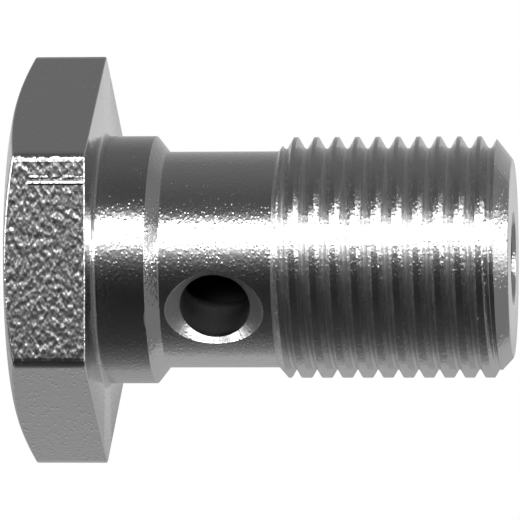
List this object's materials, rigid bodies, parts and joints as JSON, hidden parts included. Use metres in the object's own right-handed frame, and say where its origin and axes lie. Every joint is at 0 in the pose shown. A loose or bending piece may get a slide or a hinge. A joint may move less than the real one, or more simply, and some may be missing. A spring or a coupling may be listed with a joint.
{
  "type": "banjo bolt",
  "caption": "Hollow hexagon-head bolt with a locating collar, a plain shank with a countersunk cross hole, a fine thread and a bore along the axis.",
  "frame": {"origin": "centre of the face under the head, where the sealing washer seats", "axes": "+Z along the bolt's axis from the head to the threaded tip; +Y and -Y out of two flats of the head"},
  "size_m": [0.02, 0.0174, 0.024],
  "materials": {
    "plated_steel": "bright plated steel with a fine matt grain"
  },
  "bodies": {
    "root": {"banjo_bolt": "plated_steel"}
  },
  "joints": []
}
